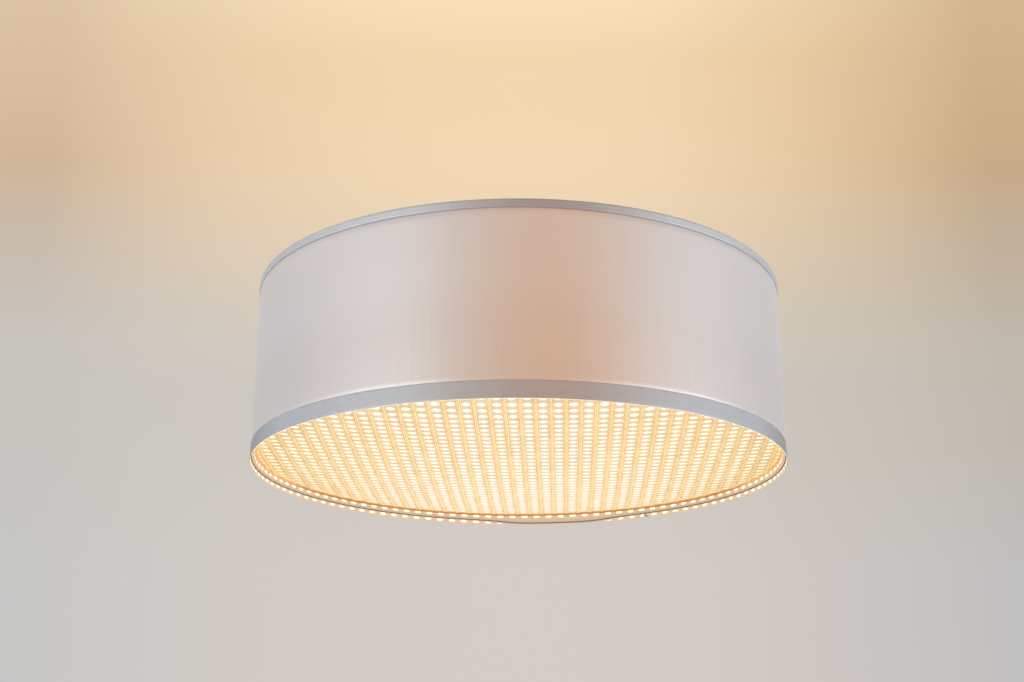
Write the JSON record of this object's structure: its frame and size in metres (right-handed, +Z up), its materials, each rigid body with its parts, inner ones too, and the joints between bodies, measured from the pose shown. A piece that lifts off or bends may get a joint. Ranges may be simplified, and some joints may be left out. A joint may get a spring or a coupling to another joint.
{
  "type": "flush mount ceiling light",
  "caption": "Round drum ceiling light with a satin fabric shade, an open top and a dished net-covered diffuser, hung from a slotted strap.",
  "frame": {"origin": "centre of the strap's mounting face, on the ceiling", "axes": "+Z up into the ceiling, the lamp hangs towards -Z; the strap's slots lie along X; the fabric's back seam faces +Y"},
  "size_m": [0.3999, 0.4, 0.1605],
  "materials": {
    "pan": "satin white powder coat",
    "strap": "zinc plated",
    "fastener": "zinc plated",
    "grommet": "matt black",
    "terminal_plastic": "moulded, off-white",
    "terminal_brass": "satin",
    "earth_insulation": "green insulation with a yellow stripe",
    "bracket": "zinc plated",
    "holder_plastic": "moulded, white",
    "shell": "drawn, bright",
    "lead_sleeve": "woven sleeve, white",
    "cap_metal": "nickel plated",
    "cap_contact": "tinned",
    "lamp_plastic": "moulded, white",
    "globe": "frosted opal, lit",
    "carrier": "white enamel",
    "thumb_nut": "knurled, satin nickel over brass",
    "film": "matt translucent film",
    "fabric": "grey-lilac satin, fine upright thread",
    "tape": "blue-grey folded tape",
    "seam": "glued overlap",
    "lining": "knitted net, amber",
    "piping": "thin grey-brown cord",
    "ledge": "amber enamel",
    "net": "knitted net in the manner of cane webbing, amber",
    "opal": "satin opal sheet, lit from behind",
    "binding": "amber edge strip"
  },
  "bodies": {
    "base": {"base_pan": "pan", "mounting_strap": "strap", "pan_studs": "fastener", "cap_nuts": "fastener", "cable_grommet": "grommet", "terminal_block": "terminal_plastic", "terminal_screws": "terminal_brass", "earth_screw": "terminal_brass", "earth_wire": "earth_insulation", "bracket_rivets": "fastener", "shade_studs": "fastener", "ring_nuts": "holder_plastic", "holder_bracket_1": "bracket", "lampholder_1": "holder_plastic", "screw_shell_1": "shell", "spring_contact_1": "terminal_brass", "lamp_lead_1": "lead_sleeve", "holder_bracket_2": "bracket", "lampholder_2": "holder_plastic", "screw_shell_2": "shell", "spring_contact_2": "terminal_brass", "lamp_lead_2": "lead_sleeve", "holder_bracket_3": "bracket", "lampholder_3": "holder_plastic", "screw_shell_3": "shell", "spring_contact_3": "terminal_brass", "lamp_lead_3": "lead_sleeve"},
    "shade": {"carrier_ring": "carrier", "shade_arm_1": "carrier", "shade_arm_2": "carrier", "shade_arm_3": "carrier", "top_wire": "carrier", "bottom_wire": "carrier", "shade_film": "film", "shade_fabric": "fabric", "top_tape": "tape", "bottom_tape": "tape", "back_seam": "seam", "rim_lining": "lining", "rim_piping": "piping", "diffuser_ledge": "ledge"},
    "diffuser": {"diffuser_net": "net", "diffuser_disc": "opal", "diffuser_binding": "binding"},
    "lamp_1": {"lamp_cap_1": "cap_metal", "lamp_contact_1": "cap_contact", "lamp_body_1": "lamp_plastic", "lamp_globe_1": "globe"},
    "lamp_2": {"lamp_cap_2": "cap_metal", "lamp_contact_2": "cap_contact", "lamp_body_2": "lamp_plastic", "lamp_globe_2": "globe"},
    "lamp_3": {"lamp_cap_3": "cap_metal", "lamp_contact_3": "cap_contact", "lamp_body_3": "lamp_plastic", "lamp_globe_3": "globe"},
    "nut_1": {"thumb_nut_1": "thumb_nut"},
    "nut_2": {"thumb_nut_2": "thumb_nut"},
    "nut_3": {"thumb_nut_3": "thumb_nut"}
  },
  "joints": [
    {"name": "shade_twist", "type": "hinge", "parent": "base", "child": "shade", "pos_m": [0, 0, -0.0268], "axis": [0, 0, 1], "range_deg": [0, 14]},
    {"name": "diffuser_lift", "type": "slide", "parent": "shade", "child": "diffuser", "axis": [0, 0, 1], "range_m": [0, 0.03]},
    {"name": "lamp_1_unscrew", "type": "slide", "parent": "base", "child": "lamp_1", "axis": [0.1045, -0.9945, 0], "range_m": [0, 0.028]},
    {"name": "lamp_2_unscrew", "type": "slide", "parent": "base", "child": "lamp_2", "axis": [0.809, 0.5878, 0], "range_m": [0, 0.028]},
    {"name": "lamp_3_unscrew", "type": "slide", "parent": "base", "child": "lamp_3", "axis": [-0.9135, 0.4067, 0], "range_m": [0, 0.028]},
    {"name": "nut_1_turn", "type": "hinge", "parent": "base", "child": "nut_1", "pos_m": [0.07582, -0.03376, -0.033], "axis": [0, 0, -1], "range_deg": [0, 720]},
    {"name": "nut_2_turn", "type": "hinge", "parent": "base", "child": "nut_2", "pos_m": [-0.00868, 0.08255, -0.033], "axis": [0, 0, -1], "range_deg": [0, 720]},
    {"name": "nut_3_turn", "type": "hinge", "parent": "base", "child": "nut_3", "pos_m": [-0.06715, -0.04879, -0.033], "axis": [0, 0, -1], "range_deg": [0, 720]}
  ]
}
